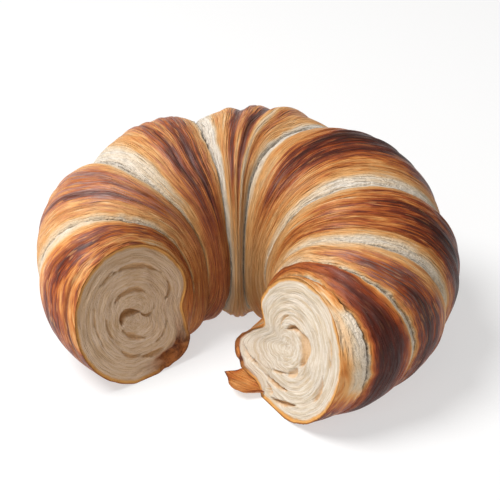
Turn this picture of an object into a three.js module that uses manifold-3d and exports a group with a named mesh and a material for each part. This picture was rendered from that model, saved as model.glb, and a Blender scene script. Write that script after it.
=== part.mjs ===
// A curled croissant with both tips cut off: one baked piece of rolled dough, lying on its flat underside.
// Millimetres, +Z up. The croissant opens towards -Y, and its fat middle lies at the back.
// The origin is the centre of the croissant's footprint, on the surface that it rests on.
import * as THREE from "three";
import { LoftGeometry } from "three/addons/geometries/LoftGeometry.js";
import { mergeVertices } from "three/addons/utils/BufferGeometryUtils.js";
import Module from "manifold-3d";

// The roll's centre line is part of an ellipse, seen from above. Angles are in degrees along it,
// 0 at the back of the croissant, negative on the left arm and positive on the right arm.
const LEFT_REACH = 40; // half-width of the ellipse on the left
const RIGHT_REACH = 38.5;
const LEFT_ARM_DEPTH = 34.5; // half-depth of the ellipse on the left
const RIGHT_ARM_DEPTH = 37.5;
const LEFT_CUT = -123; // where the left tip is cut off
const RIGHT_CUT = 156;

// Half-width and half-height of the roll's section, at the middle and at the two cuts.
const MIDDLE = { width: 33.5, height: 32 };
const LEFT_END = { width: 21, height: 22.5 };
const RIGHT_END = { width: 22.5, height: 22 };
const TAPER_POWER = 2.1; // above 1, so that the middle stays fat and the arms thin out late

// The cuts aren't quite square to the roll: both lean back, and the right one is turned a little.
const CUT_ZONE = 0.7; // share of an arm after which its sections start to follow the cut
const LEFT_LEAN = 14; // degrees that the cut face looks up
const RIGHT_LEAN = 15;
const RIGHT_TURN = 9; // degrees that the right cut is turned about Z

// The dough sags inwards and down at the middle, and bulges where the right tip was torn.
const BELLY = { share: 0.14, at: 225, spread: 40 };
const LOBE = { share: 0.4, at: 217, spread: 24 };
const LOBE_ZONE = 0.75; // share of the right arm after which the lobe grows

// The rolled sheet's overlapping edges, as valleys across the roll. Each lies at an angle along the centre
// line and leans: it is "lean" degrees further on the outer side and as much less on the inner side.
// The first and the last lie beyond the cuts.
const VALLEYS = [
  { at: -142, lean: 7 },
  { at: -105, lean: 7 },
  { at: -69, lean: 13 },
  { at: -21, lean: 2.5 },
  { at: 20, lean: 18 },
  { at: 84, lean: 2 },
  { at: 120, lean: -9 },
  { at: 139.5, lean: -6 },
  { at: 151, lean: -2 },
  { at: 176, lean: 0 },
];
const RIDGE_HEIGHT = 4.6; // from valley to crest, at the middle of the croissant
const MEAN_RIDGE = 0.62; // the share of a ridge's height at which the plain section lies
const CREST = 0.4; // where a ridge's crest lies, as a share of its breadth from the edge nearer the middle
const RIDGE_TOP = 55; // direction in the section in which the ridges stand highest, in degrees
const LOWEST_RIDGE = 0.25; // share of a ridge's height that is left underneath

// The underside is flat, from resting on the baking tray.
const TRAY_SINK = 0.04; // share of the section's half-height that the tray presses flat
const TRAY_THICKNESS = 20;

// The loose end of the dough sheet lies on the tray below the right cut, as a thin flap.
const FLAP = { length: 16, breadth: 9.5, thickness: 3.6 };
const FLAP_INWARD = 14.5; // from the centre of the right cut to the flap's centre, towards the hole
const FLAP_FORWARD = 6; // the same, out of the cut
const FLAP_LIFT = 1.7; // height of the flap's centre
const FLAP_TURN = 31; // degrees about Z, from the line across the cut
const FLAP_ROLL = 9; // degrees about its own length

const STEP_ALONG = 3; // degrees between sections
const POINTS_AROUND = 36;

// The lines that the surface is built on: the cuts, and the valleys between them.
const LINES = [
  { at: LEFT_CUT, lean: 0 },
  ...VALLEYS.filter((valley) => valley.at > LEFT_CUT && valley.at < RIGHT_CUT),
  { at: RIGHT_CUT, lean: 0 },
];

const wasm = await Module();
wasm.setup();

const radians = THREE.MathUtils.degToRad;

// A smooth bump of height 1 at one direction of the section.
function bump(around, at, spread) {
  const away = THREE.MathUtils.euclideanModulo(around - at + 180, 360) - 180;
  return Math.exp(-((away / spread) ** 2));
}

// 0 until the share reaches the start of a zone, rising to 1 at the cut.
function into(share, start) {
  return THREE.MathUtils.clamp((share - start) / (1 - start), 0, 1);
}

// How high the ridges stand in a direction of the section, from 0 to 1.
function ridgeShare(around) {
  const half = (1 - LOWEST_RIDGE) / 2;
  return 1 - half + half * Math.cos(radians(around - RIDGE_TOP));
}

// The two of the given lines that a line across the roll lies between, or the nearest two.
function neighbours(lines, line) {
  const last = lines.length - 1;
  const next = lines.findIndex((other, i) => i === last || (i > 0 && other.at >= line));
  return [lines[next - 1], lines[next]];
}

// Height of the rolled layers' surface on one line across the roll, 0 in a valley and 1 on a crest.
function ridge(line) {
  const [from, to] = neighbours(VALLEYS, line).map((valley) => valley.at);
  const share = THREE.MathUtils.clamp((line - from) / (to - from), 0, 1);
  if (from < 0 && to > 0) return 1 - (2 * share - 1) ** 2;
  const fromMiddle = to < 0 ? 1 - share : share;
  if (fromMiddle < CREST) return 1 - (1 - fromMiddle / CREST) ** 2.4;
  return 1 - ((fromMiddle - CREST) / (1 - CREST)) ** 2;
}

// How much a line across the roll leans: as the valleys on either side of it, and not at all at the cuts.
function lean(line) {
  const [from, to] = neighbours(LINES, line);
  return THREE.MathUtils.lerp(from.lean, to.lean, (line - from.at) / (to.at - from.at));
}

// One point of the roll's surface, on a line across the roll and in a direction of the section.
function surfacePoint(line, around) {
  const along = line + lean(line) * Math.cos(radians(around));
  const isLeft = along < 0;
  const angle = radians(along);
  const reach = isLeft ? LEFT_REACH : RIGHT_REACH;
  const depth = isLeft ? LEFT_ARM_DEPTH : RIGHT_ARM_DEPTH;
  const end = isLeft ? LEFT_END : RIGHT_END;
  const share = along / (isLeft ? LEFT_CUT : RIGHT_CUT);
  const towardsCut = into(share, CUT_ZONE) ** 2;

  const heading = Math.atan2(-depth * Math.sin(angle), reach * Math.cos(angle));
  const turn = isLeft ? 0 : radians(RIGHT_TURN) * towardsCut;
  const tilt = radians(isLeft ? LEFT_LEAN : -RIGHT_LEAN) * towardsCut;
  const forward = new THREE.Vector3(Math.cos(heading + turn), Math.sin(heading + turn), 0);
  const outward = new THREE.Vector3(-forward.y, forward.x, 0);

  const thinning = share ** TAPER_POWER;
  const halfWidth = THREE.MathUtils.lerp(MIDDLE.width, end.width, thinning);
  const halfHeight = THREE.MathUtils.lerp(MIDDLE.height, end.height, thinning);
  const ridgeHeight = RIDGE_HEIGHT * (halfWidth / MIDDLE.width) * (1 - 0.5 * into(share, 0.8));
  const lobe = isLeft ? 0 : LOBE.share * into(share, LOBE_ZONE) ** 1.5;
  const swell =
    1 +
    BELLY.share * (1 - share ** 2) * bump(around, BELLY.at, BELLY.spread) +
    lobe * bump(around, LOBE.at, LOBE.spread);

  const raised = ridgeHeight * ridgeShare(around) * (ridge(line) - MEAN_RIDGE);
  const across = (halfWidth * swell + raised) * Math.cos(radians(around));
  const up = (halfHeight * swell + raised) * Math.sin(radians(around));
  return new THREE.Vector3(reach * Math.sin(angle), depth * (Math.cos(angle) - 1), 0)
    .addScaledVector(outward, across)
    .addScaledVector(forward, up * Math.sin(tilt))
    .setZ(halfHeight * (1 - TRAY_SINK) + up * Math.cos(tilt));
}

// One ring of points around the roll, counted from the outer side over the top.
function ring(line) {
  return Array.from({ length: POINTS_AROUND }, (_, i) => surfacePoint(line, (360 * i) / POINTS_AROUND));
}

// Merges a closed geometry's shared points and makes a solid of it.
function solid(geometry) {
  const bare = new THREE.BufferGeometry().copy(geometry);
  bare.deleteAttribute("normal");
  bare.deleteAttribute("uv");
  const merged = mergeVertices(bare);
  const vertProperties = new Float32Array(merged.attributes.position.array);
  const triVerts = new Uint32Array(merged.index.array);
  return new wasm.Manifold(new wasm.Mesh({ numProp: 3, vertProperties, triVerts }));
}

// The solid's surface as a three.js geometry.
function surface(made) {
  const { vertProperties, triVerts } = made.getMesh();
  const geometry = new THREE.BufferGeometry();
  geometry.setAttribute("position", new THREE.BufferAttribute(vertProperties, 3));
  geometry.setIndex(new THREE.BufferAttribute(triVerts, 1));
  geometry.computeVertexNormals();
  return geometry;
}

// The whole roll, with a ring in every valley and at both cuts.
function roll() {
  const rings = [ring(LEFT_CUT)];
  for (let i = 1; i < LINES.length; i++) {
    const [from, to] = [LINES[i - 1].at, LINES[i].at];
    const steps = Math.ceil((to - from) / STEP_ALONG);
    for (let k = 1; k <= steps; k++) rings.push(ring(THREE.MathUtils.lerp(from, to, k / steps)));
  }
  return new LoftGeometry(rings, { capStart: true, capEnd: true });
}

// Everything below the surface that the croissant rests on.
function tray(geometry) {
  geometry.computeBoundingBox();
  const size = geometry.boundingBox.getSize(new THREE.Vector3()).multiplyScalar(2);
  const centre = geometry.boundingBox.getCenter(new THREE.Vector3());
  return new THREE.BoxGeometry(size.x, size.y, TRAY_THICKNESS).translate(
    centre.x,
    centre.y,
    -TRAY_THICKNESS / 2,
  );
}

// The thin loose end of the dough sheet, as a flattened ball that sticks out from under the right cut.
function flap() {
  const cut = ring(RIGHT_CUT);
  const [outer, top, inner, bottom] = [0, 1, 2, 3].map((quarter) => cut[(quarter * POINTS_AROUND) / 4]);
  const across = outer.sub(inner).setZ(0).normalize();
  const out = new THREE.Vector3(across.y, -across.x, 0);
  const place = top
    .lerp(bottom, 0.5)
    .addScaledVector(across, -FLAP_INWARD)
    .addScaledVector(out, FLAP_FORWARD);
  return new THREE.SphereGeometry(0.5, 16, 10)
    .scale(FLAP.length, FLAP.breadth, FLAP.thickness)
    .rotateX(radians(FLAP_ROLL))
    .rotateZ(Math.atan2(across.y, across.x) + radians(FLAP_TURN))
    .translate(place.x, place.y, FLAP_LIFT);
}

const dough = roll();
const baked = solid(dough).add(solid(flap())).subtract(solid(tray(dough)));
const skin = surface(baked);
skin.computeBoundingBox();
const footprint = skin.boundingBox.getCenter(new THREE.Vector3());

const crust = new THREE.MeshStandardMaterial({ color: 0xb97a3a, roughness: 0.55, metalness: 0 });
const croissant = new THREE.Mesh(skin, crust);
croissant.name = "croissant";
croissant.position.set(-footprint.x, -footprint.y, 0);

const part = new THREE.Group();
part.add(croissant);

export default part;
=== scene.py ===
# %% [markdown]
# # A curled croissant with both tips cut off
#
# The croissant is one baked piece: a long triangle of layered dough, rolled up and bent into a horseshoe.
# Its skin is all ridges. Each turn of the roll overlaps the next one, so the skin climbs from a pale, torn
# seam over a dark, glossy crest and falls to the next seam. At both cut ends the same layers show as a
# spiral.
#
# Nearly everything on the skin runs round the roll, so this scene builds it on a grid that runs round the
# roll too: one row of points for each line across the dough, with rows exactly in the seams. Sculpting by
# hand would also do it, but with such a grid one formula gives a seam, a wrinkle or a streak its place, and
# the colours can be worked out from the same numbers as the shape.
#
# The script works in millimetres and turns them into metres when a mesh is made.

# %% Load the frame
import math

import bpy
import numpy as np
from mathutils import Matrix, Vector


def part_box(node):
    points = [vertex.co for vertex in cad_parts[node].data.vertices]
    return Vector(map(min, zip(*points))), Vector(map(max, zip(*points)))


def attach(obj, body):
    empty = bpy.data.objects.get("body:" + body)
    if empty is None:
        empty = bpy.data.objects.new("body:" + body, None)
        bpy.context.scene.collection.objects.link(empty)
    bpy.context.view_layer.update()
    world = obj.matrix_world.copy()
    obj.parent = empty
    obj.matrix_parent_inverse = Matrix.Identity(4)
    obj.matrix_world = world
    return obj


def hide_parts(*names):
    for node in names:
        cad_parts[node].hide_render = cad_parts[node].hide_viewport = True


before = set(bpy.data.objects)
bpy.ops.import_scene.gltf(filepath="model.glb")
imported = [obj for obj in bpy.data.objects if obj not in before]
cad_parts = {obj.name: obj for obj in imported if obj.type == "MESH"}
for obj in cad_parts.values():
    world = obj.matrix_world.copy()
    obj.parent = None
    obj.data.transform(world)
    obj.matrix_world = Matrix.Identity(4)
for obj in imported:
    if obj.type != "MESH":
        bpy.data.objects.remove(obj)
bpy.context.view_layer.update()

MM = 0.001
cad_low, cad_high = (np.array(corner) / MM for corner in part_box("croissant"))
print("CAD box in mm:", cad_low.round(1), cad_high.round(1))

# %% [markdown]
# ## The dough's proportions
#
# These are the driving sizes of the roll, the same as the solid that stands for it in the frame. The centre
# line is part of an ellipse, seen from above, and a place along it is an angle: 0 at the fat middle,
# negative on the left arm and positive on the right one. A direction in the section is an angle too: 0 is
# the outer side, 90 the top, 180 the inner side and 270 underneath.

# %% Driving sizes
LEFT_REACH, RIGHT_REACH = 40, 38.5  # half-width of the ellipse
LEFT_ARM_DEPTH, RIGHT_ARM_DEPTH = 34.5, 37.5  # half-depth of the ellipse
LEFT_CUT, RIGHT_CUT = -123, 156  # degrees along it
MIDDLE, LEFT_END, RIGHT_END = (33.5, 32), (21, 22.5), (22.5, 22)  # half-width and half-height of the section
TAPER_POWER = 2.1  # above 1, so that the middle stays fat and the arms thin out late
CUT_ZONE = 0.7  # share of an arm after which its sections start to follow the cut
LEFT_LEAN, RIGHT_LEAN = 14, 15  # degrees that the cuts look up
RIGHT_TURN = 9  # degrees that the right cut is turned
TRAY_SINK = 0.04  # share of the half-height that the tray presses flat

RIDGE_HEIGHT = 4.6  # from seam to crest, at the middle of the croissant
MEAN_RIDGE = 0.62  # share of a ridge's height at which the plain section lies
CREST = 0.4  # share of a ridge's breadth at which its crest lies
RIDGE_TOP = 55  # direction in which the ridges stand highest
LOWEST_RIDGE = 0.25  # share of a ridge's height that is left underneath
print("cuts at", LEFT_CUT, "and", RIGHT_CUT, "degrees")

# %% [markdown]
# The seams lie between the ridges. Each has an angle along the roll, two leans (how much further along it
# is on the outer side, and how much less on the inner side), and the height of its torn lip. The first and
# the last are beyond the cuts.

# %% Seams
SEAMS = [  # at, outer lean, inner lean, lip in mm
    (-142, 7, 7, 0.0),
    (-102, 9, 9, 0.6),
    (-67, 12, 13, 0.4),
    (-19.5, 4, 2, 0.4),
    (26, 13, 22, 1.0),
    (81, 0, -1, 1.1),
    (121, -13, -11, 0.9),
    (139.5, -13, -6, 0.35),
    (151, -6, -2, 0.35),
    (176, 0, 0, 0.0),
]
inner_seams = SEAMS[1:-1]
lines_at = np.array([LEFT_CUT] + [seam[0] for seam in inner_seams] + [RIGHT_CUT], float)
outer_lean = np.array([0] + [seam[1] for seam in inner_seams] + [0], float)
inner_lean = np.array([0] + [seam[2] for seam in inner_seams] + [0], float)
seams_at = np.array([seam[0] for seam in SEAMS], float)
print(len(inner_seams), "seams between the cuts")

# %% [markdown]
# ## Rows and columns
#
# The grid is finest near the seams, where the torn edges are, and a little coarser on the crests.

# %% The grid
AROUND = 160  # points in a row
ROWS_EACH, ROWS_PER_DEGREE = 8, 1.46  # rows from one seam to the next
CROWDING = 0.6  # 0 spaces these rows evenly, and towards 1 they crowd at the seams


def rows_between(start, end):
    count = round(ROWS_EACH + ROWS_PER_DEGREE * (end - start))
    u = np.arange(1, count + 1) / count
    return start + (end - start) * (u - CROWDING / (2 * math.pi) * np.sin(2 * math.pi * u))


line = np.concatenate([[LEFT_CUT]] + [rows_between(a, b) for a, b in zip(lines_at, lines_at[1:])])
around = np.arange(AROUND) * 360 / AROUND
seam_rows = [int(np.argmin(abs(line - seam[0]))) for seam in inner_seams]
print(len(line), "rows of", AROUND, "points")

# %% [markdown]
# ## Bread's own irregularity
#
# Nothing on a loaf repeats. This is a seeded value noise: random numbers on a grid of cells, blended
# smoothly. Round the roll the cells wrap, so that no join shows.


# %% Smooth noise
CELLS = 257  # cells of noise in each direction before it repeats


def waves(seed, u, v, wrap=CELLS, climb=0):
    """Smooth noise from -1 to 1 in cells of u and v. It repeats "wrap" cells of v and "climb" of u on."""
    table = np.random.default_rng(seed).uniform(-1, 1, (CELLS, CELLS))
    u, v = np.broadcast_arrays(np.asarray(u, float), np.asarray(v, float))
    iu, iv = np.floor(u).astype(int), np.floor(v).astype(int)
    fu, fv = u - iu, v - iv
    fu, fv = fu * fu * (3 - 2 * fu), fv * fv * (3 - 2 * fv)

    def at(du, dv):
        return table[(iu + du - climb * ((iv + dv) // wrap)) % CELLS, (iv + dv) % wrap]

    near = at(0, 0) * (1 - fv) + at(0, 1) * fv
    far = at(1, 0) * (1 - fv) + at(1, 1) * fv
    return near * (1 - fu) + far * fu


def rise(x, low, high):
    """0 below low, 1 above high, and smooth between."""
    t = np.clip((x - low) / (high - low), 0, 1)
    return t * t * (3 - 2 * t)


def bump(angle, at, spread):
    """A smooth bump of height 1 at one direction of the section, in degrees."""
    away = (np.asarray(angle) - at + 180) % 360 - 180
    return np.exp(-((away / spread) ** 2))


print("noise along a short line:", waves(1, np.arange(4) / 3, 0.5).round(2))


# %% [markdown]
# ## The roll's skin
#
# One function places any point of the skin. It takes the line across the roll, the direction in the
# section, and how far the skin is raised above the plain, smooth section there. The dough also sags
# inwards, over the hole, and swells or shrinks at the cuts where the tips were torn. The underside is
# pressed flat by the tray, so no point goes below it.


# %% Skin
# How the roll swells and shrinks towards each cut: share of its size, direction, breadth in degrees, and how
# far back from the cut it starts, as a share of the arm. The big one is the lobe left where the tip tore.
LEFT_SWELLS = [(-0.17, 191, 15, 0.05), (0.08, 226, 13, 0.06)]
RIGHT_SWELLS = [(0.40, 208, 13, 0.22), (0.15, 224, 8, 0.16), (-0.26, 180, 12, 0.12), (0.12, 255, 10, 0.10)]
BELLY, BELLY_AT, BELLY_SPREAD = 0.14, 225, 40  # sag of the whole roll: share of its size, direction, breadth
SAG, SAG_AT, SAG_SPREAD = 0.16, 221, 22  # the left arm sags further
SAG_LINE, SAG_LENGTH = -97, 14  # degrees along the centre line: where it does so, and how far that reaches


def swelling(share, swells):
    """How much the section is larger than the plain one in each direction, at a share of the arm."""
    total = 0
    for size, at, breadth, back in swells:
        total = total + size * np.clip((share - 1 + back) / back, 0, 1) ** 1.5 * bump(around, at, breadth)
    return total


def skin(rows, raised):
    """The skin's points, from the angle of each one's line along the roll and the mm that it is raised."""
    theta = np.radians(around)[None, :]
    outer_share = rise(np.cos(theta), -0.7, 0.7)
    outer, inner = np.interp(rows, lines_at, outer_lean), np.interp(rows, lines_at, inner_lean)
    along = rows + (inner + (outer - inner) * outer_share) * np.cos(theta)
    left = along < 0
    angle = np.radians(along)
    reach = np.where(left, LEFT_REACH, RIGHT_REACH)
    depth = np.where(left, LEFT_ARM_DEPTH, RIGHT_ARM_DEPTH)
    share = np.clip(along / np.where(left, LEFT_CUT, RIGHT_CUT), 0, 1)
    thinning = share**TAPER_POWER
    half_width = MIDDLE[0] + (np.where(left, LEFT_END[0], RIGHT_END[0]) - MIDDLE[0]) * thinning
    half_height = MIDDLE[1] + (np.where(left, LEFT_END[1], RIGHT_END[1]) - MIDDLE[1]) * thinning

    to_cut = np.clip((share - CUT_ZONE) / (1 - CUT_ZONE), 0, 1) ** 2
    heading = np.arctan2(-depth * np.sin(angle), reach * np.cos(angle))
    heading = heading + np.where(left, 0, np.radians(RIGHT_TURN) * to_cut)
    tilt = np.radians(np.where(left, LEFT_LEAN, -RIGHT_LEAN)) * to_cut

    belly = BELLY * (1 - share**2) * bump(around, BELLY_AT, BELLY_SPREAD)
    sag = SAG * np.exp(-(((along - SAG_LINE) / SAG_LENGTH) ** 2)) * bump(around, SAG_AT, SAG_SPREAD)
    at_cuts = np.where(left, swelling(share, LEFT_SWELLS), swelling(share, RIGHT_SWELLS))
    swell = 1 + belly + sag + at_cuts
    across = (half_width * swell + raised) * np.cos(theta)
    up = (half_height * swell + raised) * np.sin(theta)
    lift = half_height * (1 - TRAY_SINK)
    up = np.maximum(up, -lift / np.cos(tilt))

    x = reach * np.sin(angle) - np.sin(heading) * across + np.cos(heading) * up * np.sin(tilt)
    y = depth * (np.cos(angle) - 1) + np.cos(heading) * across + np.sin(heading) * up * np.sin(tilt)
    return np.stack([x, y, lift + up * np.cos(tilt)], -1)


print("the torn lobe adds up to", round(float(swelling(1, RIGHT_SWELLS).max()), 2), "of the right cut's size")

# %% [markdown]
# Going away from the middle, a ridge climbs quickly to its crest and then falls slowly to the next seam.
# The ridge in the middle has no such direction, so it is simply round.


# %% Plain ridges
def ridge_shares(rows):
    """For each row: the number of its ridge, and the share of the ridge's breadth from its left edge."""
    number = np.clip(np.searchsorted(seams_at, rows, side="left") - 1, 0, len(SEAMS) - 2)
    start, end = seams_at[number], seams_at[number + 1]
    return number, np.clip((rows - start) / (end - start), 0, 1)


ridge, ridge_share = ridge_shares(line)
middle_ridge = int(np.searchsorted(seams_at, 0)) - 1
from_middle = np.where(ridge < middle_ridge, 1 - ridge_share, ridge_share)
climb = 1 - (1 - np.clip(from_middle / CREST, 0, 1)) ** 2.4
fall = 1 - (np.clip(from_middle - CREST, 0, 1) / (1 - CREST)) ** 2
profile = np.where(from_middle < CREST, climb, fall)
profile = np.where(ridge == middle_ridge, 1 - (2 * ridge_share - 1) ** 2, profile)

arm_share = np.clip(line / np.where(line < 0, LEFT_CUT, RIGHT_CUT), 0, 1)[:, None]
end_width = np.where(line < 0, LEFT_END[0], RIGHT_END[0])[:, None]
half_widths = MIDDLE[0] + (end_width - MIDDLE[0]) * arm_share**TAPER_POWER
fade_at_cut = 1 - 0.5 * np.clip((arm_share - 0.8) / 0.2, 0, 1)
half_loss = (1 - LOWEST_RIDGE) / 2
stand = 1 - half_loss + half_loss * np.cos(np.radians(around - RIDGE_TOP))[None, :]
on_wall = 0.85 * bump(around, 218, 36)[None, :]
stand = np.maximum(stand, on_wall)  # the ridges also stand out low on the wall of the hole
ridge_height = RIDGE_HEIGHT * half_widths / MIDDLE[0] * fade_at_cut * stand
raised = ridge_height * (profile[:, None] - MEAN_RIDGE)

line_grid = np.repeat(line[:, None], AROUND, 1)
plain = skin(line_grid, raised)
steps = np.linalg.norm(np.diff(plain, axis=0), axis=2)
run = np.concatenate([np.zeros((1, AROUND)), np.cumsum(steps, 0)])  # mm along the skin, in each column
top_run = run[:, AROUND // 4][:, None]
per_degree = np.gradient(run, axis=0) / np.gradient(line)[:, None]
room = np.clip(per_degree / 0.5, 0.3, 1)  # less detail fits where the inner side bunches up
turn = (around / 360)[None, :]


def roll_waves(seed, u, cells):
    """Noise with so many cells round the roll. It changes with u along the roll, and a fixed u keeps it."""
    return waves(seed, u, turn * cells, cells)


print("length along the top:", round(float(top_run[-1, 0])), "mm")

# %% [markdown]
# ## Seams, lips and wrinkles
#
# As the dough rises in the oven, the seams tear. The layer further from the middle keeps a torn lip, and
# the one nearer the middle sinks below it into a narrow crack. The tear wanders, so each seam's rows are
# moved a little to and fro along the roll.

# %% Torn seams
ALL_ALONG = 0.5  # one place in a cell of noise, for what is the same in every row
WANDER_REACH = 3.5  # mm from a seam to which the rows are moved with it
LIP_RISE, LIP_FALL = 0.35, 1.8  # mm in which a lip rises from the crack, and falls back to the skin
CRACK_BREADTH = 0.7
PALE_BEYOND, PALE_BEFORE = 1.3, 3.2  # mm that the crumbly dough reaches on each side of a seam

wander = np.zeros_like(run)
lips = np.zeros_like(run)
cracks = np.zeros_like(run)
near_seam = np.zeros_like(run)
for number, (seam_row, (at, _, _, lip)) in enumerate(zip(seam_rows, inner_seams)):
    beyond = (run - run[seam_row]) * (1 if at > 0 else -1)  # mm past the seam, away from the middle
    wobble = 0.9 * roll_waves(10 + number, ALL_ALONG, 11) + 0.45 * roll_waves(30 + number, ALL_ALONG, 37)
    wobble = wobble + 0.3 * roll_waves(50 + number, ALL_ALONG, 83)
    wander += wobble * np.exp(-((beyond / WANDER_REACH) ** 2)) / np.maximum(per_degree, 0.25)
    torn = 0.75 + 0.5 * roll_waves(70 + number, ALL_ALONG, 47) + 0.3 * roll_waves(110 + number, ALL_ALONG, 80)
    lips += lip * torn * rise(beyond, 0, LIP_RISE) * np.exp(-np.maximum(beyond, 0) / LIP_FALL)
    gape = 0.65 + 0.5 * roll_waves(90 + number, ALL_ALONG, 29)
    crack = np.exp(-((np.minimum(beyond + 0.25, 0) / CRACK_BREADTH) ** 2)) * (beyond < 0.05)
    cracks += np.clip(gape, 0, 1.2) * crack
    reach = np.where(beyond > 0, PALE_BEYOND, PALE_BEFORE)
    near_seam = np.maximum(near_seam, np.exp(-((beyond / reach) ** 2)))
wander *= room
seam_stand = stand * room
print("deepest crack:", round(float(cracks.max()), 2), "mm")

# %% [markdown]
# Wrinkles and fibres run round the roll. Broad folds and sharp creases are in the mesh, so they also show
# in the outline. The finest fibres come later, from the material. Broken crumb roughens the pale seams.

# %% Wrinkles
CREASE_PITCH, CREASE_BREADTH = 4.3, 0.42
PLEATS = 4.4  # folds across the middle ridge

on_crest = rise(from_middle, 0.06, 0.3)[:, None] * (1 - rise(from_middle, 0.66, 0.92))[:, None]
middle_crest = rise(ridge_share, 0.1, 0.3)[:, None] * (1 - rise(ridge_share, 0.7, 0.9))[:, None]
on_crest = np.where((ridge == middle_ridge)[:, None], middle_crest, on_crest)
extra = np.where(ridge == middle_ridge, 1.5, np.where(ridge < middle_ridge, 1.1, 1.3))[:, None]

bend = 0.9 * roll_waves(26, ALL_ALONG, 9) + 0.5 * roll_waves(27, top_run / 25, 21)
strand_run = top_run + bend  # the strands wander a little along the roll
folds = roll_waves(1, strand_run / 3.2, 5)
ripples = roll_waves(2, strand_run / 1.6, 13)
fine_strands = roll_waves(7, strand_run / 1.05, 19)
phase = strand_run / CREASE_PITCH + 0.55 * roll_waves(3, top_run / 16, 5)
to_crease = abs(phase - np.round(phase)) * CREASE_PITCH
crease_here = rise(roll_waves(4, top_run / 5, 6), -0.15, 0.5)
crease = np.exp(-((to_crease / CREASE_BREADTH) ** 2)) * crease_here * on_crest
pleat_turns = PLEATS * ridge_share[:, None] + 0.2 * roll_waves(8, ALL_ALONG, 7)
pleats = np.cos(2 * math.pi * pleat_turns) * middle_crest
pleats = 1 - 2 * (0.5 - 0.5 * pleats) ** 1.6
pleats = np.where((ridge == middle_ridge)[:, None], pleats, 0)
crumble = roll_waves(5, run / 1.1, 120) + 0.6 * roll_waves(6, run / 2.6, 60)

detail = on_crest * extra * (0.38 * folds + 0.22 * ripples + 0.16 * fine_strands)
detail = detail - 0.45 * crease + 0.75 * pleats + 0.26 * crumble * near_seam
detail = detail * room * (0.35 + 0.65 * stand)
detail = detail + seam_stand * (lips - 1.2 * cracks)
at_cut = np.minimum(run, run[-1] - run)
detail *= rise(at_cut, 0.0, 1.5)
frayed = roll_waves(120, run / 2, 70) + 0.6 * roll_waves(121, run / 2, 33)
left_tear = bump(around, 226, 26) * np.exp(-run / 3)
right_tear = bump(around, 212, 24) * np.exp(-(run[-1] - run) / 3)
detail += (0.55 * left_tear + 0.4 * right_tear + 0.10 * np.exp(-at_cut / 1.2)) * frayed
points = skin(line_grid + wander * rise(at_cut, 0.5, 4.0), raised + detail)
print("detail stands", round(float(detail.max()), 2), "mm out and", round(float(-detail.min()), 2), "mm in")

# %% [markdown]
# ## How brown each place is
#
# Sugar and egg wash brown where the skin is hottest: on the crests, on top and outside. One number, from 0
# for pale dough to 1 for nearly burnt, says how far a place has browned. It is given across each ridge,
# from its left seam to its right one, and broken up into streaks that follow the fibres. Near the tray even
# the seams brown, and the sheltered wall of the hole has one even colour.

# %% Browning
# For each ridge: the direction of its darkest skin, how much paler the far side is, how brown the sheltered
# inner side is, how strong a painted sheen lies on its top, and then its stops.
BROWNING = [
    (50, 0.15, 0.46, 0.4, [(0.48, 0.34), (0.56, 0.40), (0.63, 0.56), (0.69, 0.74), (0.76, 0.52), (0.86, 0.36),
                           (0.93, 0.14), (1, 0.03)]),
    (60, 0.30, 0.44, 1.5, [(0, 0.04), (0.07, 0.14), (0.13, 0.30), (0.26, 0.39), (0.36, 0.68), (0.46, 0.42),
                           (0.60, 0.64), (0.72, 0.48), (0.82, 0.34), (0.88, 0.20), (0.92, 0.05), (1, 0.02)]),
    (140, 0.25, 0.52, 0.9, [(0, 0.02), (0.16, 0.04), (0.22, 0.26), (0.32, 0.38), (0.44, 0.56), (0.56, 0.46),
                            (0.70, 0.82), (0.80, 0.58), (0.90, 0.36), (0.96, 0.14), (1, 0.03)]),
    (70, 0.35, 0.20, 0.8, [(0, 0.02), (0.08, 0.06), (0.14, 0.34), (0.28, 0.50), (0.38, 0.88), (0.46, 0.54),
                           (0.54, 0.92), (0.66, 0.56), (0.78, 0.42), (0.90, 0.30), (0.94, 0.06), (1, 0.02)]),
    (30, 0.30, 0.23, 0.2, [(0, 0.00), (0.05, 0.03), (0.085, 0.34), (0.20, 0.46), (0.31, 0.76), (0.42, 1.06),
                           (0.54, 0.94), (0.66, 0.70), (0.78, 0.48), (0.87, 0.26), (0.92, 0.06), (1, 0.02)]),
    (10, 0.46, 0.23, 0.1, [(0, 0.00), (0.06, 0.03), (0.10, 0.32), (0.26, 0.46), (0.42, 0.74), (0.58, 1.06),
                           (0.70, 0.82), (0.79, 0.50), (0.86, 0.28), (0.91, 0.07), (1, 0.03)]),
    (2, 0.90, 0.23, 0.9, [(0, 0.00), (0.08, 0.04), (0.14, 0.27), (0.34, 0.41), (0.50, 0.74), (0.66, 1.04),
                          (0.80, 0.80), (0.89, 0.42), (0.93, 0.14), (1, 0.04)]),
    (0, 0.46, 0.38, 0.2, [(0, 0.04), (0.10, 0.06), (0.16, 0.42), (0.27, 0.66), (0.42, 0.92), (0.60, 1.00),
                          (0.78, 0.90), (0.88, 0.60), (0.94, 0.38), (0.97, 0.14), (1, 0.04)]),
    (355, 0.10, 0.42, 0.0, [(0, 0.05), (0.05, 0.06), (0.10, 0.12), (0.17, 0.28), (1, 0.34)]),
]

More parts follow.
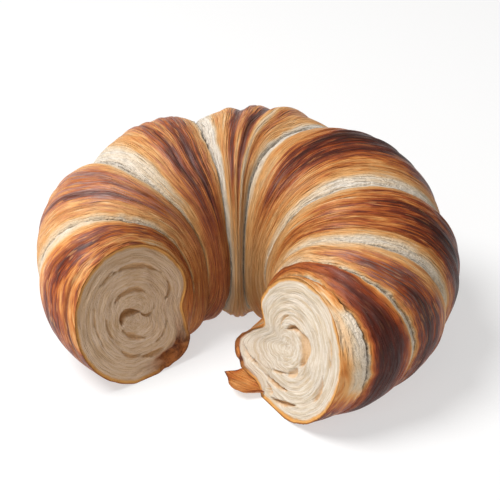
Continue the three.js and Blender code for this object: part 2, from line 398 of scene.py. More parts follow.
edge_shift = 0.8 * roll_waves(21, top_run / 9, 7) + 0.5 * roll_waves(22, top_run / 4, 23)
edge_shift = edge_shift + 0.35 * roll_waves(28, top_run / 2, 61)
browned = np.zeros_like(run)
sheltered = np.zeros_like(run)
painted_sheen = np.zeros_like(run)
for number, (hottest, contrast, inner_brown, sheen_strength, stops) in enumerate(BROWNING):
    here = ridge == number
    stop_shares, stop_browns = zip(*stops)
    ridge_part = np.ptp(ridge_share[here])
    per_share = np.ptp(run[here], axis=0) / ridge_part
    per_share = np.maximum(per_share, 0.6 * np.ptp(top_run[here]) / ridge_part)
    sheltered[here] = inner_brown
    # Painted sheen: a paler, pinkish tint towards the top, in place of the light's reflection.
    painted_sheen[here] = sheen_strength * bump(around, 80, 60)
    shifted = np.clip(ridge_share[here][:, None] + edge_shift[here] / per_share, 0, 1)
    heat = 1 - contrast * (1 - bump(around, hottest, 80)[None, :])
    browned[here] = np.interp(shifted, stop_shares, stop_browns) * heat
last_ridge = (ridge == len(SEAMS) - 2)[:, None]
off_side = 1 - rise(bump(around, 8, 55), 0.3, 0.6)
browned = np.where(last_ridge, np.maximum(browned, 0.34 * off_side), browned)  # only its outer side is pale

even_ridge = (ridge == len(SEAMS) - 3)[:, None]  # the last ridge but one is smooth and browns evenly
streaks = 0.09 * roll_waves(23, strand_run / 2.6, 5) + 0.12 * roll_waves(24, strand_run / 1.3, 9)
streaks = (streaks + 0.11 * fine_strands) * (0.4 + 0.6 * room) * np.where(even_ridge, 0.6, 1)
patches = 0.08 * roll_waves(29, strand_run / 7, 5)
browned = browned + (0.25 + 0.75 * on_crest) * rise(browned, 0.12, 0.35) * (streaks + patches)
# Broad folds brown more; the creases are darkened as painted shade, and the pleats' valleys are browner than
# their tops.
browned = browned + on_crest * 0.08 * folds + 0.16 * crease - 0.16 * pleats
shelter = bump(around, 190, 52)  # the inner side is shaded by the rest, so it browns evenly
inner_side = (sheltered + 0.5 * streaks) * (1 - 0.85 * near_seam**8)
browned = browned + shelter * (inner_side - browned)
tray_edge = 0.16 * waves(130, top_run / 13, ALL_ALONG) + 0.10 * roll_waves(131, strand_run / 2.4, 5)
near_tray = rise(bump(around, 303, 52) + tray_edge, 0.20, 0.70)  # low down even the seams are brown
tray_brown = np.where(line < 0, 0.66, 0.63)[:, None]
browned = browned + near_tray * (np.maximum(browned, tray_brown + 0.4 * streaks) - browned)
under = 1 - rise(points[..., 2], 0.5, 7)
browned = browned * (1 - 0.7 * under) + 0.7 * under * (0.5 + 0.12 * roll_waves(25, run / 7, 24))
browned = np.clip(browned, 0, 1)
# Painted shadow in the cracks below the torn lips.
painted_crack_shadow = np.clip(cracks * np.maximum(seam_stand, 0.6 * shelter), 0, 1)
crumbly = np.maximum(near_seam, 0.6) * (1 - rise(browned, 0.10, 0.26))
pale = crumbly * np.clip(seam_stand, 0.2, 1) * (1 - under)
stringy = (1 - 0.4 * shelter) * np.where(even_ridge, 0.3, 1)
print("mean browning:", round(float(browned.mean()), 2))

# %% [markdown]
# ## The cut ends
#
# A cut through the roll shows a spiral of thin, airy layers. Each cut face is a flat disc of the same
# columns as the skin, which shrinks to the point where the roll was started. The layers are a wave along
# the radius that gains one turn for each turn round the centre, which makes it a spiral. Where steam has
# pushed the layers apart there are long hollows, each laid along a curve of three points in the cut's own
# plane, in millimetres outwards and upwards from the cut's centre.

# %% Hollows
LEFT_HOLLOWS = [  # three points that the hollow runs through, then its breadth and depth
    ((5, 15), (-4, 15), (-12, 10), 1, 1.2),
    ((10, 13), (8, 14), (5, 16), 0.5, 0.8),
    ((6, 6), (0, 8), (-5, 6), 1, 1.3),
    ((5, -2), (3, 1), (-2, 0), 1.5, 2.4),
    ((-2, 0), (-5, -2), (-8, 1), 0.6, 1.2),
    ((5, -4), (2, -7), (-2, -9), 1, 1.1),
    ((7, -10), (4, -13), (0, -14), 0.8, 1),
    ((0, -15), (-4, -15.5), (-8, -15), 1, 1.4),
    ((-12, 1), (-14, 3), (-14, 6), 0.7, 1.4),
    ((10, 2), (10, -2), (9, -5), 0.6, 0.8),
    ((13, 8), (14, 1), (13, -6), 0.5, 0.7),
    ((-11, -6), (-9, -10), (-4, -12), 0.5, 0.8),
]
RIGHT_HOLLOWS = [
    ((-6, 4), (-3, 6), (1, 6), 1, 2),
    ((0, 6), (4, 3), (4, -3), 2.6, 1.6),
    ((3, -5), (2, -7), (0, -9), 1.5, 1),
    ((-24, -12), (-21, -14), (-16, -14), 1, 4),
    ((-10, -15), (-5, -15), (1, -14), 1, 2),
    ((-9, -17), (-7, -18), (-5, -19), 1, 3),
    ((-5, -20), (0, -19), (6, -16), 1, 2),
    ((15, -1), (15, -6), (13, -11), 1, 1.2),
    ((-12, -13), (-6, -11), (-1, -9), 0.5, 1),
    ((-9, 3), (-9, 6), (-7, 8), 0.6, 1),
    ((13, 12), (16, 7), (16, 2), 0.5, 0.8),
]


def spots(seed, x, y, size):
    """Noise in the plane of a cut, in cells of a size in mm. It starts 40 cells in, so none is below 0."""
    return waves(seed, x / size + 40, y / size + 40)


def hollow_depth(x, y, hollows, seed):
    """How deep the hollows are at each point of the cut, and how far inside one it is, from 0 to 1, more for
    deeper hollows: it tints them tan, partly as painted shade.
    """
    deep, hollow_tan_and_shade = np.zeros_like(x), np.zeros_like(x)
    ragged = 0.22 * spots(seed, x, y, 1.3)
    t = np.linspace(0, 1, 25)[:, None]
    for start, middle, end, breadth, depth in hollows:
        curve = (1 - t) * (1 - 2 * t) * np.array(start) + 4 * t * (1 - t) * np.array(middle)
        curve = curve + t * (2 * t - 1) * np.array(end)
        gap = np.hypot(x[..., None] - curve[:, 0], y[..., None] - curve[:, 1]) + ragged[..., None]
        half_breadth = breadth * (0.25 + 0.75 * np.sin(math.pi * t[:, 0]))
        inside = (1 - gap / half_breadth).max(-1)
        deep = np.maximum(deep, depth * rise(inside, -0.15, 0.75))
        hollow_tan_and_shade = np.maximum(hollow_tan_and_shade, rise(inside, -0.05, 0.45) * min(1, 0.45 + depth / 4))
    return deep, hollow_tan_and_shade


print(len(LEFT_HOLLOWS), "hollows on the left,", len(RIGHT_HOLLOWS), "on the right")

# %% Cut faces
CAP_RINGS = 70
LAYER_PITCH = 1.9  # mm from one turn of the dough to the next
CUT_RADIUS = 22
LEFT_CURL, RIGHT_CURL = (0.5, -0.5), (-4.5, -1)  # where the roll was started, outwards and up from the middle


def cut_face(edge, curl, hollows, torn_at, seed, is_left):
    """The rings of points inside the edge of a cut, with the values that its colours are made from."""
    middle = (edge[AROUND // 4] + edge[3 * AROUND // 4]) / 2
    out = edge[0] - edge[AROUND // 2]
    out = np.array([out[0], out[1], 0]) / math.hypot(out[0], out[1])
    up = edge[AROUND // 4] - middle
    up = up / np.linalg.norm(up)
    normal = np.cross(up, out) if is_left else np.cross(out, up)
    flat_x, flat_y = (edge - middle) @ out, (edge - middle) @ up

    rho = 1 - (np.arange(1, CAP_RINGS) / CAP_RINGS)[:, None]
    x = curl[0] + (flat_x - curl[0]) * rho
    y = curl[1] + (flat_y - curl[1]) * rho
    from_curl = np.hypot(x - curl[0], y - curl[1])
    radius = 0.35 * from_curl + 0.65 * rho * CUT_RADIUS
    warp = 1.3 * spots(seed, x, y, 8) + 0.3 * spots(seed + 1, x, y, 3)
    layer = (radius + warp) / LAYER_PITCH
    winding = turn * (1 if is_left else -1)

    def sheets(number, cells_each, cells_round):
        """Noise in thin sheets that wind inwards, one sheet's breadth for each turn."""
        u = cells_each * (layer + winding)
        return waves(number, u, turn * cells_round, cells_round, cells_each * (1 if is_left else -1))

    broad, fine, hair = sheets(seed + 2, 1, 9), sheets(seed + 7, 2, 17), sheets(seed + 8, 4, 26)
    groove_tan_and_shade = rise(-(0.5 * broad + 0.6 * fine + 0.3 * hair), 0.05, 0.75)

    deep, hollow_tan_and_shade = hollow_depth(x, y, hollows, seed + 3)
    torn_towards, torn_breadth, torn_from = torn_at
    torn = bump(around, torn_towards, torn_breadth)[None, :] * rise(rho, torn_from, torn_from + 0.1)
    ragged = spots(seed + 4, x, y, 2.2) + 0.5 * spots(seed + 5, x, y, 0.9)
    inside = rise(1 - rho, 0, 0.035)
    relief = (0.24 * broad + 0.20 * fine + 0.12 * hair) * rise(rho, 0.05, 0.6) - 0.35 * inside - deep
    relief = relief + 0.35 * spots(seed + 6, x, y, 5) + torn * (0.9 * ragged - 0.5)
    relief *= inside
    place = middle + x[..., None] * out + y[..., None] * up + relief[..., None] * normal
    centre = middle + curl[0] * out + curl[1] * up - 0.6 * normal
    rim = np.broadcast_to(rho, x.shape)
    values = {"groove_tan_and_shade": groove_tan_and_shade, "deep": hollow_tan_and_shade, "torn": torn, "rim": rim}
    return {"place": place, "centre": centre, "height": float(np.ptp(y)), **values}


# Where the skin tore at each cut: direction, breadth in degrees, and the share of the radius it starts from.
LEFT_TORN, RIGHT_TORN = (236, 25, 0.72), (208, 17, 0.87)
left_face = cut_face(points[0], LEFT_CURL, LEFT_HOLLOWS, LEFT_TORN, 200, True)
right_face = cut_face(points[-1], RIGHT_CURL, RIGHT_HOLLOWS, RIGHT_TORN, 300, False)
for side, face in (("left", left_face), ("right", right_face)):
    print(side, "cut is", round(face["height"]), "mm high")

# %% [markdown]
# ## One closed mesh
#
# The skin and both faces are joined into one closed mesh: the faces' outer rings are the skin's first and
# last rows. The values for the colours are stored on its points as attributes, which a material can read by
# name. A texture map of the same grid is stored too, with the roll as one big rectangle and each cut as a
# disc, so that the finish can be baked without a stretch.


# %% Mesh helpers
def grid_faces(first, second):
    """Quads between two rings of point numbers."""
    return np.stack([first, np.roll(first, -1), np.roll(second, -1), second], 1)


def closed_mesh(name, corners, faces, values, materials, material_numbers, uvs):
    """An object from its corners in mm, its faces, and the values on the corners that give its colours."""
    mesh = bpy.data.meshes.new(name)
    mesh.from_pydata((corners * MM).tolist(), [], [list(map(int, face)) for face in faces])
    for key, value in values.items():
        kind, field = ("FLOAT_VECTOR", "vector") if value.ndim == 2 else ("FLOAT", "value")
        attribute = mesh.attributes.new(key, kind, "POINT")
        attribute.data.foreach_set(field, value.astype(np.float32).ravel())
    layer = mesh.uv_layers.new(name="OFBake")
    layer.data.foreach_set("uv", np.asarray(uvs, np.float32).ravel())
    for material in materials:
        mesh.materials.append(material)
    mesh.polygons.foreach_set("material_index", np.asarray(material_numbers, np.int32))
    mesh.shade_smooth()
    mesh.validate()
    piece = bpy.data.objects.new(name, mesh)
    bpy.context.scene.collection.objects.link(piece)
    return piece


print("the skin takes", (len(line) - 1) * AROUND, "faces")

# %% [markdown]
# ## Shader maths in plain Python
#
# A material is a graph of nodes, and sums read badly as a graph. This class wraps the output of a node, so
# that `1 - mask * 0.5` adds the two Math nodes by itself. All other nodes come from one method of the
# material.


# %% Material helper
class Amount:
    """A number or a colour somewhere in a material."""

    def __init__(self, finish, socket):
        self.finish, self.socket = finish, socket

    def maths(self, operation, first, second, **settings):
        return self.finish.add("ShaderNodeMath", {"operation": operation, **settings}, {0: first, 1: second})

    def __add__(self, other):
        return self.maths("ADD", self, other)

    def __sub__(self, other):
        return self.maths("SUBTRACT", self, other)

    def __mul__(self, other):
        return self.maths("MULTIPLY", self, other)

    def __rsub__(self, other):
        return self.maths("SUBTRACT", other, self)

    __radd__, __rmul__ = __add__, __mul__

    def between(self, low, high):
        """0 below low, 1 above high, smooth between."""
        settings = {"interpolation_type": "SMOOTHSTEP"}
        return self.finish.add("ShaderNodeMapRange", settings, {0: self, 1: low, 2: high})

    def clamped(self):
        """The same, but never below 0 or above 1."""
        return self.maths("ADD", self, 0.0, use_clamp=True)


class Finish:
    """A material that is written from top to bottom."""

    def __init__(self, name):
        self.material = bpy.data.materials.new(name)
        self.material.use_nodes = True
        self.tree = self.material.node_tree
        self.tree.nodes.clear()

    def add(self, kind, settings=None, values=None, output=0):
        """One node: its type, its settings, which are set first, and the values or links of its sockets."""
        node = self.tree.nodes.new(kind)
        settings = dict(settings or {})
        stops = settings.pop("stops", [])
        for key, value in settings.items():
            setattr(node, key, value)
        for _ in stops[2:]:  # a colour ramp starts with two stops
            node.color_ramp.elements.new(0.5)
        for number, (position, shade) in enumerate(stops):
            element = node.color_ramp.elements[number]
            element.position, element.color = position, shade
        for key, value in (values or {}).items():
            if isinstance(value, Amount):
                self.tree.links.new(value.socket, node.inputs[key])
            else:
                node.inputs[key].default_value = value
        return Amount(self, node.outputs[output]) if node.outputs else None

    def value(self, name):
        return self.add("ShaderNodeAttribute", {"attribute_name": name}, output="Fac")

    def vector(self, name):
        return self.add("ShaderNodeAttribute", {"attribute_name": name}, output="Vector")

    def stretched(self, vector, by):
        return self.add("ShaderNodeVectorMath", {"operation": "MULTIPLY"}, {0: vector, 1: by})

    def noise(self, vector, scale, detail, roughness):
        values = {"Vector": vector, "Scale": scale, "Detail": detail, "Roughness": roughness}
        return self.add("ShaderNodeTexNoise", {}, values)

    def blend(self, first, second, share):
        """A colour between two others: the first where the share is 0, the second where it is 1."""
        return self.add("ShaderNodeMix", {"data_type": "RGBA"}, {0: share, 6: first, 7: second}, output=2)

    def surface(self, **sockets):
        """Ends the material with a shader. Socket names are written with _ for a space."""
        values = {key.replace("_", " "): value for key, value in sockets.items()}
        shader = self.add("ShaderNodeBsdfPrincipled", {}, values)
        self.add("ShaderNodeOutputMaterial", {}, {"Surface": shader})
        return self.material


def colour(hex_code):
    """A screen colour, written as six hexadecimal digits, as the linear colour that Blender works in."""
    parts = [int(hex_code[i : i + 2], 16) / 255 for i in (0, 2, 4)]
    return tuple(c / 12.92 if c <= 0.04045 else ((c + 0.055) / 1.055) ** 2.4 for c in parts) + (1.0,)


print("golden crust in linear light:", [round(part, 2) for part in colour("cc8140")])

# %% [markdown]
# ## Crust
#
# Egg-washed crust goes from cream over straw, gold and orange-brown to a very dark red-brown. It is
# glossier where it has browned, and dull and floury at the torn seams. One colour ramp turns browning into
# colour. The fibres add to the browning before the ramp, so that a streak is always a shade that crust
# really has. On top of some ridges a pale pinkish painted sheen lies over the brown, some fibres carry
# painted glints, and the cracks and creases are painted darker as shade.

# %% Crust material
CRUST_SHADES = [
    (0.00, "ebe1d3"),
    (0.10, "e5ccab"),
    (0.23, "dfa76b"),
    (0.37, "cc8140"),
    (0.51, "ad5b27"),
    (0.65, "853818"),
    (0.79, "592010"),
    (0.90, "44160c"),
    (1.00, "341009"),
]


def make_crust():
    finish = Finish("egg-washed crust")
    fibre = finish.vector("fibre")
    place = finish.add("ShaderNodeTexCoord", output="Object")
    browning, pale, crack, crease = (finish.value(n) for n in ("browning", "pale", "crack", "crease"))
    stringy, painted_sheen = finish.value("stringy"), finish.value("painted_sheen")

    strands = finish.noise(fibre, 1, 2, 0.5)
    threads = finish.noise(finish.stretched(fibre, (1.5, 1.5, 2.1)), 1, 2, 0.5)
    mottle = finish.noise(place, 320, 4, 0.6)
    grain = finish.noise(place, 1400, 3, 0.6)

    brown = browning.between(0.16, 0.45)
    shade = browning + (strands - 0.5) * (0.15 + brown * 0.45) * stringy
    shade = shade + (threads.between(0.38, 0.62) - 0.5) * (0.03 + brown * 0.17) * stringy
    shade = shade + (mottle - 0.5) * 0.16 * brown
    stops = [(browned_to, colour(code)) for browned_to, code in CRUST_SHADES]
    tint = finish.add("ShaderNodeValToRGB", {"stops": stops}, {0: shade.clamped()})
    # Painted sheen: on some ridges' tops the brown turns pale and pinkish, in place of a reflection.
    sheen_share = painted_sheen * brown * (threads.between(0.35, 0.75) * 0.34 + 0.03)
    tint = finish.blend(tint, colour("d8b4a8"), sheen_share)

    crumbs = finish.noise(place, 700, 4, 0.7)
    dots = crumbs.between(0.50, 0.68) * pale * 0.4
    tint = finish.blend(tint, colour("a8947c"), dots)
    # Painted shadow: dark crumbs along the cracks.
    tint = finish.blend(tint, colour("4a3626"), (crack * 1.3 * crumbs.between(0.28, 0.55)).clamped())
    # Painted shade: the creases are darker still where the crust is brown.
    tint = finish.blend(tint, colour("4a1f14"), (crease * 0.75 * brown).clamped())
    # Painted glints: a lighter colour on some fibres in place of their highlights.
    glints = finish.noise(finish.stretched(fibre, (1.7, 1.7, 1.9)), 1, 1, 0.5).between(0.60, 0.69)
    painted_glints = glints * brown * (1 - browning.between(0.65, 0.95) * 0.75)  # fewer on the darkest crust
    tint = finish.blend(tint, colour("d08f58"), painted_glints * stringy * 0.6)
    flour = finish.noise(place, 2200, 2, 0.5).between(0.70, 0.80) * (0.18 + 0.2 * pale)
    tint = finish.blend(tint, colour("f2dfc0"), flour)

    height = strands * 0.9 + threads * 0.9 + grain * (0.06 + pale * 0.3) + crumbs * pale * 0.75
    relief = finish.add("ShaderNodeBump", {}, {"Strength": 1.0, "Distance": 0.0013, "Height": height})
    rough = 0.62 - brown * 0.22 + pale * 0.24 + (mottle - 0.5) * 0.2
    return finish.surface(
        Base_Color=tint,
        Roughness=rough.clamped(),
        Coat_Weight=(brown * 0.20 * (1 - pale)).clamped(),
        Coat_Roughness=0.38,
        Specular_IOR_Level=0.14,
        IOR=1.45,
        Normal=relief,
    )


crust = make_crust()
print("crust:", len(crust.node_tree.nodes), "nodes")

# %% [markdown]
# ## Crumb
#
# Inside, the bread is cream, with tan in the grooves between layers, a deeper tan in the hollows and a thin
# gold rim of crust. The tan is partly the crumb's own and partly painted shade, darker where a hollow sinks
# deeper. It has no gloss. Where the skin tore at the cut, the face is as brown as the crust. The left cut's
# crumb is painted a little darker and warmer than the right one's, and its layer lines darker, as shade.


# %% Crumb material
def make_crumb():
    finish = Finish("layered crumb")
    layered = finish.vector("fibre")
    place = finish.add("ShaderNodeTexCoord", output="Object")
    groove_tan_and_shade, deep, torn, rim, painted_cut_shade = (finish.value(n) for n in ("groove_tan_and_shade", "deep", "torn", "rim", "painted_cut_shade"))

    sheets = finish.noise(layered, 1, 5, 0.62)
    hairs = finish.noise(finish.stretched(layered, (2.2, 2.2, 1.7)), 1, 2, 0.5)
    pores = finish.noise(place, 1300, 3, 0.6)
    mottle = finish.noise(place, 260, 4, 0.6)

    tint = finish.blend(colour("dacfc0"), colour("c6b59c"), sheets.between(0.38, 0.62))
    # Painted shade: the whole left cut is tinted darker and warmer.
    tint = finish.blend(tint, colour("c9a07a"), painted_cut_shade * 0.6)
    # Tan in the grooves between layers: partly the crumb's colour, partly painted shade.
    lines = groove_tan_and_shade * 0.34 + hairs.between(0.47, 0.66) * 0.42
    # Painted shade: on the left cut the lines are darker.
    tint = finish.blend(tint, colour("b08c62"), (lines * (0.5 + painted_cut_shade * 0.6)).clamped())
    # Hollows are tan, darker where deeper: partly the crumb's colour, partly painted shade.
    tint = finish.blend(tint, colour("cfa574"), deep * 0.85)
    tint = finish.blend(tint, colour("a06c3c"), deep.between(0.8, 1.3))
    edge = rim + (mottle - 0.5) * 0.06
    tint = finish.blend(tint, colour("cf9650"), edge.between(0.925, 0.965))
    tint = finish.blend(tint, colour("b0682a"), edge.between(0.97, 1.0))
    skin_brown = finish.blend(colour("9c5c2c"), colour("5a2c17"), mottle.between(0.4, 0.65))
    tint = finish.blend(tint, skin_brown, (torn * 1.2 + (mottle - 0.5) * torn).clamped())

    height = sheets * 0.6 + hairs * 0.45 + pores * 0.35
    relief = finish.add("ShaderNodeBump", {}, {"Strength": 0.9, "Distance": 0.0009, "Height": height})
    return finish.surface(Base_Color=tint, Roughness=0.82, IOR=1.4, Normal=relief)


crumb = make_crumb()
print("crumb:", len(crumb.node_tree.nodes), "nodes")

# %% [markdown]
# The fibres need a place in the dough that wraps round the roll and runs along it. It has three parts: two
# go round with the section, slowly, and one counts along the roll, quickly. A plain noise in that space
# comes out as strands round the roll. On the cut faces the third part counts from the rim to the centre
# instead.

# %% Join the parts
STRAND_PITCH, CUT_PITCH = 0.75, 0.55  # mm from one strand to the next, on the skin and on a cut
STRAND_TURNS, CUT_TURNS = 2.6, 1.6  # radius of the circle that the first two parts go round


def fibre_space(count_along, turns):
    ring_x, ring_y = np.cos(np.radians(around)) * turns, np.sin(np.radians(around)) * turns
    return np.stack(np.broadcast_arrays(ring_x[None, :], ring_y[None, :], count_along), -1)


skin_fibre = fibre_space(strand_run / STRAND_PITCH, STRAND_TURNS)
on_skin = {
    "browning": browned,
    "pale": pale,
    "crack": painted_crack_shadow,
    "crease": crease * room,
    "stringy": stringy,
    "painted_sheen": painted_sheen,
    "rim": np.ones_like(run),
}
only_on_cuts = ("groove_tan_and_shade", "deep", "torn", "painted_cut_shade")
point_values = {key: [value.ravel()] for key, value in on_skin.items()}
point_values |= {key: [np.zeros(run.size)] for key in only_on_cuts}
point_values["fibre"] = [skin_fibre.reshape(-1, 3)]
print(len(point_values), "values on each point")

# %% Faces of the skin
MAP_MARGIN = 0.004  # round the whole texture map
ROLL_TOP = 0.70  # share of the map's height that the roll takes

skin_ids = np.arange(run.size).reshape(run.shape)
point_blocks, faces, face_uvs = [points.reshape(-1, 3)], [], []
u_rows = np.linspace(MAP_MARGIN, 1 - MAP_MARGIN, len(line))
v_columns = np.linspace(MAP_MARGIN, ROLL_TOP, AROUND + 1)
v_start, v_end = v_columns[:-1], v_columns[1:]
for row in range(len(line) - 1):
    faces.append(grid_faces(skin_ids[row], skin_ids[row + 1]))
    u_start, u_end = np.full(AROUND, u_rows[row]), np.full(AROUND, u_rows[row + 1])
    map_corners = [(u_start, v_start), (u_start, v_end), (u_end, v_end), (u_end, v_start)]
    face_uvs.append(np.stack([np.stack(corner, -1) for corner in map_corners], 1))
skin_face_count = len(faces) * AROUND
print(skin_face_count, "faces on the skin")

# %% Add the cut faces
DISC = 0.142  # radius of a cut face in the texture map
LEFT_DISC, RIGHT_DISC = (0.15, 0.85), (0.45, 0.85)  # where their middles lie in it


def on_disc(centre, radius, angles):
    return np.stack([centre[0] + radius * np.cos(angles), centre[1] + radius * np.sin(angles)], -1)


def add_face(face, edge_ids, disc_centre, flip):
    """Adds a cut face's points, values, rings of faces and the fan of triangles in its middle."""
    start = sum(len(block) for block in point_blocks)
    rings = face["place"].reshape(-1, 3)
    point_blocks.extend([rings, face["centre"][None, :]])
    for key in ("groove_tan_and_shade", "deep", "torn", "rim"):
        point_values[key].extend([face[key].ravel(), [0]])
    for key in ("browning", "pale", "crack", "crease", "stringy", "painted_sheen"):
        point_values[key].append(np.zeros(len(rings) + 1))
    # The left cut gets 1 here, for its painted shade.
    point_values["painted_cut_shade"].append(np.full(len(rings) + 1, float(flip)))
    fibre = fibre_space(face["rim"] * CUT_RADIUS / CUT_PITCH, CUT_TURNS)
    point_values["fibre"].extend([fibre.reshape(-1, 3), np.zeros((1, 3))])

    ids = np.concatenate([edge_ids[None, :], start + np.arange(len(rings)).reshape(-1, AROUND)])
    radii = DISC * (1 - np.arange(CAP_RINGS) / CAP_RINGS)
    here = np.radians(around)
    after = np.roll(here, -1)
    blocks = []
    for k in range(CAP_RINGS - 1):
        on_map = [(radii[k], here), (radii[k], after), (radii[k + 1], after), (radii[k + 1], here)]
        blocks.append((grid_faces(ids[k], ids[k + 1]), on_map))
    fan = np.stack([ids[-1], np.roll(ids[-1], -1), np.full(AROUND, start + len(rings))], 1)
    blocks.append((fan, [(radii[-1], here), (radii[-1], after), (0 * here, here)]))
    for block, on_map in blocks:
        block_uv = np.stack([on_disc(disc_centre, radius, angles) for radius, angles in on_map], 1)
        faces.append(block[:, ::-1] if flip else block)
        face_uvs.append(block_uv[:, ::-1] if flip else block_uv)


add_face(left_face, skin_ids[0], LEFT_DISC, True)
add_face(right_face, skin_ids[-1], RIGHT_DISC, False)
print(sum(len(block) for block in faces) - skin_face_count, "faces on the cuts")

# %% The baked croissant
all_faces = [face for block in faces for face in block]
uvs = np.concatenate([block_uv.reshape(-1, 2) for block_uv in face_uvs])
material_numbers = np.arange(len(all_faces)) >= skin_face_count  # 0 for crust, 1 for crumb
corner_values = {key: np.concatenate(parts) for key, parts in point_values.items()}

all_points = np.concatenate(point_blocks)
shift = (cad_low + cad_high) / 2 - (all_points.min(0) + all_points.max(0)) / 2
shift[2] = 0  # it stays on the floor
all_points = all_points + shift
croissant = closed_mesh(
    "croissant_baked", all_points, all_faces, corner_values, [crust, crumb], material_numbers, uvs
)
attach(croissant, "root")
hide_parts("croissant")
print(len(all_points), "points; box in mm:", all_points.min(0).round(1), all_points.max(0).round(1))

# %% [markdown]
# ## The loose end
#
# Below the right cut a leaf of dough came loose and baked hard on the tray. It is a closed tube whose
# section is squashed to a thin lens: pointed at the tip, broad in the middle, and buried in the roll at its
# other end. A central fold and turned-up edges keep it from looking like a cut-out.

# %% Leaf of dough
LEAF_LENGTH, LEAF_BREADTH = 18.5, 13
LEAF_INWARD, LEAF_FORWARD = 14.5, 6  # from the middle of the right cut: towards the hole, and out of the cut
LEAF_TURN = 31  # degrees from the line across the cut
LEAF_LIFT, CLEAR_OF_FLOOR = 1.25, 0.05  # height of its middle, and the least height of any point
LEAF_ROWS, LEAF_AROUND = 40, 40

last_ring = points[-1]
to_outer = last_ring[0] - last_ring[AROUND // 2]
to_outer = np.array([to_outer[0], to_outer[1], 0]) / math.hypot(to_outer[0], to_outer[1])
leaf_centre = (last_ring[AROUND // 4] + last_ring[3 * AROUND // 4]) / 2
leaf_centre = leaf_centre - LEAF_INWARD * to_outer + LEAF_FORWARD * np.array([to_outer[1], -to_outer[0], 0])
leaf_angle = math.atan2(to_outer[1], to_outer[0]) + math.radians(LEAF_TURN)
lengthways = np.array([math.cos(leaf_angle), math.sin(leaf_angle), 0])
crossways = np.array([-lengthways[1], lengthways[0], 0])

s_leaf = (np.arange(LEAF_ROWS) + 0.5)[:, None] / LEAF_ROWS  # 0 at the tip, 1 at the root
phi = np.arange(LEAF_AROUND)[None, :] * 2 * math.pi / LEAF_AROUND
half_breadth = LEAF_BREADTH / 2 * np.sin(math.pi * s_leaf**0.8) ** 1.5
half_breadth = half_breadth * (1 + 0.16 * waves(400, s_leaf * 9, 0.5) + 0.08 * waves(401, s_leaf * 21, 0.5))
half_thickness = 0.28 + 0.75 * np.sin(math.pi * s_leaf) ** 0.7
side = np.cos(phi)
on_top = np.sin(phi) > 0
wide = half_breadth * side
body = half_thickness * np.sin(phi) * (1 - 0.55 * side**2)
turned_up = 1.5 * side**2 * np.sin(math.pi * s_leaf) + 2.2 * (1 - s_leaf) ** 3
central_fold = -0.55 * np.exp(-((wide + 0.6) ** 2)) * on_top
wrinkled = 0.16 * waves(402, wide / 1.3 + 20, s_leaf * 6) * on_top
leaf_z = LEAF_LIFT + body + turned_up + central_fold + wrinkled + 0.4 * waves(403, s_leaf * 4, wide / 4 + 20)
leaf_x = (s_leaf - 0.5) * LEAF_LENGTH + 0.5 * waves(404, s_leaf * 3, wide / 3 + 20)
leaf_points = leaf_centre * [1, 1, 0] + leaf_x[..., None] * lengthways + wide[..., None] * crossways
leaf_points[..., 2] = np.maximum(leaf_z, CLEAR_OF_FLOOR)
ends = [leaf_points[0].mean(0) - 0.5 * lengthways, leaf_points[-1].mean(0) + 0.3 * lengthways]
print("leaf stands", round(float(leaf_z.max()), 1), "mm high")

# %% Faces of the leaf
MAP_EDGE = 0.02  # margin on the leaf's texture map


def on_leaf_map(count, total):
    return MAP_EDGE + (1 - 2 * MAP_EDGE) * count / total


leaf_ids = np.arange(LEAF_ROWS * LEAF_AROUND).reshape(LEAF_ROWS, LEAF_AROUND)
leaf_faces, leaf_uvs = [], []
for row in range(LEAF_ROWS - 1):
    leaf_faces.extend(grid_faces(leaf_ids[row], leaf_ids[row + 1]))
    u0, u1 = on_leaf_map(row, LEAF_ROWS), on_leaf_map(row + 1, LEAF_ROWS)
    for column in range(LEAF_AROUND):
        v0, v1 = on_leaf_map(column, LEAF_AROUND), on_leaf_map(column + 1, LEAF_AROUND)
        leaf_uvs.extend([(u0, v0), (u0, v1), (u1, v1), (u1, v0)])
tip_and_root = [(0, leaf_ids.size, MAP_EDGE / 4), (LEAF_ROWS - 1, leaf_ids.size + 1, 1 - MAP_EDGE / 4)]
for row, apex, u in tip_and_root:
    u_row = on_leaf_map(row, LEAF_ROWS)
    for column in range(LEAF_AROUND):
        triangle = (leaf_ids[row, column], leaf_ids[row, (column + 1) % LEAF_AROUND], apex)
        v0, v1 = on_leaf_map(column, LEAF_AROUND), on_leaf_map(column + 1, LEAF_AROUND)
        map_corners = [(u_row, v0), (u_row, v1), (u, (v0 + v1) / 2)]
        leaf_faces.append(triangle[::-1] if row == 0 else triangle)
        leaf_uvs.extend(map_corners[::-1] if row == 0 else map_corners)
print("leaf of dough:", len(leaf_faces), "faces")

# %% Finish the leaf
edge_brown = rise(abs(side), 0.6, 1.0) * 0.16 + 0.22 * rise(1 - s_leaf, 0.75, 1)
leaf_brown = 0.36 + edge_brown + 0.12 * waves(405, s_leaf * 7, wide / 2 + 20) - 0.14 * (np.sin(phi) < -0.3)
TIP_BROWN, ROOT_BROWN = 0.8, 0.5

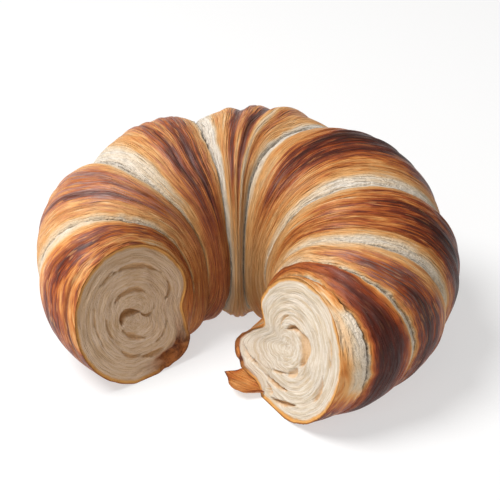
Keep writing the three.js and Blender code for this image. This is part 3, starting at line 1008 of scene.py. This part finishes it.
FIBRE_LENGTHS, FIBRE_PLACE = 2.5, 9  # cells of fibre along the leaf, and their place in the fibres' space
leaf_fibre = np.stack(
    np.broadcast_arrays(s_leaf * FIBRE_LENGTHS, FIBRE_PLACE, wide / 0.7 + 2 * np.sin(phi)), -1
)
end_fibre = [[0, FIBRE_PLACE, 0], [FIBRE_LENGTHS, FIBRE_PLACE, 0]]
nothing = np.zeros(leaf_ids.size + 2)
leaf_values = {
    "browning": np.append(leaf_brown.ravel(), [TIP_BROWN, ROOT_BROWN]),
    "stringy": nothing + 0.45,
    "fibre": np.concatenate([leaf_fibre.reshape(-1, 3), end_fibre]),
} | {key: nothing for key in ("pale", "crack", "crease", "painted_sheen")}
leaf_corners = np.concatenate([leaf_points.reshape(-1, 3), ends]) + shift
leaf = closed_mesh(
    "loose_leaf", leaf_corners, leaf_faces, leaf_values, [crust], np.zeros(len(leaf_faces), int), leaf_uvs
)
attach(leaf, "root")
print("its browning runs from", leaf_brown.min().round(2), "to", leaf_brown.max().round(2))

# %% [markdown]
# ## The stage, the light and the camera
#
# A pale floor, and soft light. The window light hangs high on the left and slightly in front, and is big,
# so that its shadows are soft. A weak fill in front on the left opens the cut ends, and a little warm light
# comes from all around. The floor glows slightly, which keeps it pale without a brighter lamp on the
# croissant. The long lens keeps the two arms in proportion.

# %% Stage
floor_finish = Finish("pale floor")
pale_floor = floor_finish.surface(
    Base_Color=(0.38, 0.38, 0.38, 1), Roughness=0.9, Emission_Color=(1, 1, 1, 1), Emission_Strength=0.56
)
FLOOR_REACH = 3  # metres from the middle
floor_mesh = bpy.data.meshes.new("floor")
floor_corners = [(x * FLOOR_REACH, y * FLOOR_REACH, 0) for x, y in ((-1, -1), (1, -1), (1, 1), (-1, 1))]
floor_mesh.from_pydata(floor_corners, [], [(0, 1, 2, 3)])
floor_mesh.materials.append(pale_floor)
floor = bpy.data.objects.new("floor", floor_mesh)
bpy.context.scene.collection.objects.link(floor)

world = bpy.data.worlds.new("studio")
world.use_nodes = True
background = world.node_tree.nodes["Background"]
background.inputs["Color"].default_value = (1, 0.95, 0.89, 1)
background.inputs["Strength"].default_value = 0.22
bpy.context.scene.world = world
bpy.context.scene.view_settings.view_transform = "Standard"

LIT_POINT = (0, 0, 0.03)


def soft_light(name, place, size, power):
    """A round lamp that points at the middle of the croissant. Its place and size are in metres."""
    lamp = bpy.data.lights.new(name, "AREA")
    lamp.shape, lamp.size, lamp.energy = "DISK", size, power
    light = bpy.data.objects.new(name, lamp)
    light.location = place
    light.rotation_euler = (Vector(LIT_POINT) - Vector(place)).to_track_quat("-Z", "Y").to_euler()
    bpy.context.scene.collection.objects.link(light)
    print(name, "at", place)


soft_light("window light", (-0.58, -0.1, 1.0), 0.6, 16)
soft_light("front fill", (-0.3, -0.85, 0.55), 0.8, 2.2)

# %% Camera
ELEVATION, DISTANCE, LENS = 31.7, 451.6, 99.5  # degrees down, mm away, mm of focal length
SENSOR = 36
AIM = (0, -30, 25)  # a point in the hole, in the roll's own mm
FRAME_RIGHT, FRAME_UP = 2.4, 5.25  # mm from there to the middle of the view
elevation = math.radians(ELEVATION)
ahead = np.array([0, math.cos(elevation), -math.sin(elevation)])
upwards = np.array([0, math.sin(elevation), math.cos(elevation)])
aim = np.array(AIM) + shift + FRAME_RIGHT * np.array([1, 0, 0]) + FRAME_UP * upwards
camera_data = bpy.data.cameras.new("camera")
camera_data.lens, camera_data.sensor_width = LENS, SENSOR
camera = bpy.data.objects.new("camera", camera_data)
camera.location = Vector((aim - DISTANCE * ahead) * MM)
camera.rotation_euler = (math.pi / 2 - elevation, 0, 0)
bpy.context.scene.collection.objects.link(camera)
bpy.context.scene.camera = camera
print("camera at", [round(c, 3) for c in camera.location])
